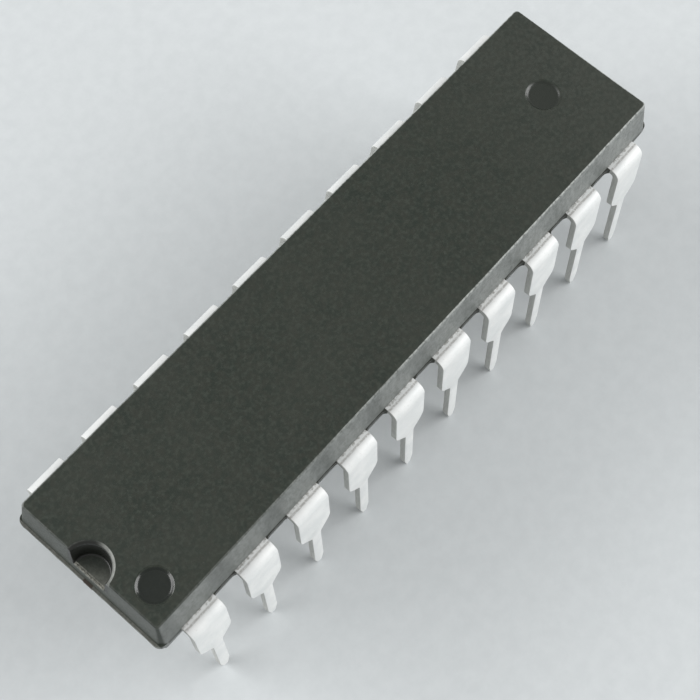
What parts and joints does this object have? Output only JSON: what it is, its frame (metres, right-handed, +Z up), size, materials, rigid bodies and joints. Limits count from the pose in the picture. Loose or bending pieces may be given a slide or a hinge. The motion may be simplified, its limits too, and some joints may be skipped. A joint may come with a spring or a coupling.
{
  "type": "dip integrated circuit chip",
  "caption": "Flat black moulded integrated circuit body with an index notch at one end and a row of bent tinned leads down each long side, for through-hole circuit boards and sockets.",
  "frame": {"origin": "on the plane that the lead tips stand on, under the middle of the body", "axes": "+X along the body, away from the notched end; +Y across the body, away from the row that starts with lead_1 beside the round mark; +Z up from the lead tips to the top face"},
  "size_m": [0.0264, 0.0086, 0.0074],
  "materials": {
    "epoxy_moulding": "matte dark grey moulded epoxy with a fine even grain",
    "tinned_leads": "matte tin plate, nearly white, with bare sheared edges",
    "paddle_copper": "plain stamped copper alloy",
    "die_adhesive": "cured silver-filled adhesive",
    "silicon_die": "polished silicon under a thin clear oxide",
    "gold_wire": "drawn gold wire"
  },
  "bodies": {
    "root": {"body": "epoxy_moulding", "lead_1": "tinned_leads", "lead_2": "tinned_leads", "lead_3": "tinned_leads", "lead_4": "tinned_leads", "lead_5": "tinned_leads", "lead_6": "tinned_leads", "lead_7": "tinned_leads", "lead_8": "tinned_leads", "lead_9": "tinned_leads", "lead_10": "tinned_leads", "lead_11": "tinned_leads", "lead_12": "tinned_leads", "lead_13": "tinned_leads", "lead_14": "tinned_leads", "lead_15": "tinned_leads", "lead_16": "tinned_leads", "lead_17": "tinned_leads", "lead_18": "tinned_leads", "lead_19": "tinned_leads", "lead_20": "tinned_leads", "die_paddle": "paddle_copper", "die_attach": "die_adhesive", "die": "silicon_die", "bond_wire_1": "gold_wire", "bond_wire_2": "gold_wire", "bond_wire_3": "gold_wire", "bond_wire_4": "gold_wire", "bond_wire_5": "gold_wire", "bond_wire_6": "gold_wire", "bond_wire_7": "gold_wire", "bond_wire_8": "gold_wire", "bond_wire_9": "gold_wire", "bond_wire_10": "gold_wire", "bond_wire_11": "gold_wire", "bond_wire_12": "gold_wire", "bond_wire_13": "gold_wire", "bond_wire_14": "gold_wire", "bond_wire_15": "gold_wire", "bond_wire_16": "gold_wire", "bond_wire_17": "gold_wire", "bond_wire_18": "gold_wire", "bond_wire_19": "gold_wire", "bond_wire_20": "gold_wire"}
  },
  "joints": []
}
